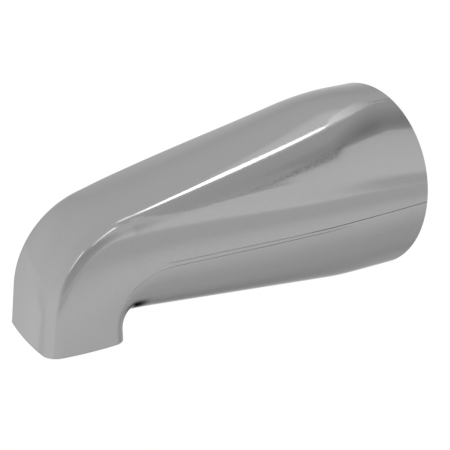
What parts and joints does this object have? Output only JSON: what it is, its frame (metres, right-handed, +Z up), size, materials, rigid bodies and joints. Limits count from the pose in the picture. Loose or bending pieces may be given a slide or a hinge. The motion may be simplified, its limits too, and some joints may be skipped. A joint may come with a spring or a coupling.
{
  "type": "bath spout",
  "caption": "Wall-mounted bath spout: hollow chromed casting with a round wall end, flat-topped tapering body, elbow and rectangular outlet, screwed onto a threaded supply pipe.",
  "frame": {"origin": "centre of the round wall end, on the plane of the finished wall", "axes": "+Y into the wall, so the spout runs out along -Y; +Z up; X across the spout"},
  "size_m": [0.0634, 0.127, 0.0636],
  "materials": {
    "chrome": "chrome plate over a polished zinc casting, with soft, slightly satin reflections"
  },
  "bodies": {
    "root": {"spout_body": "chrome"}
  },
  "joints": []
}
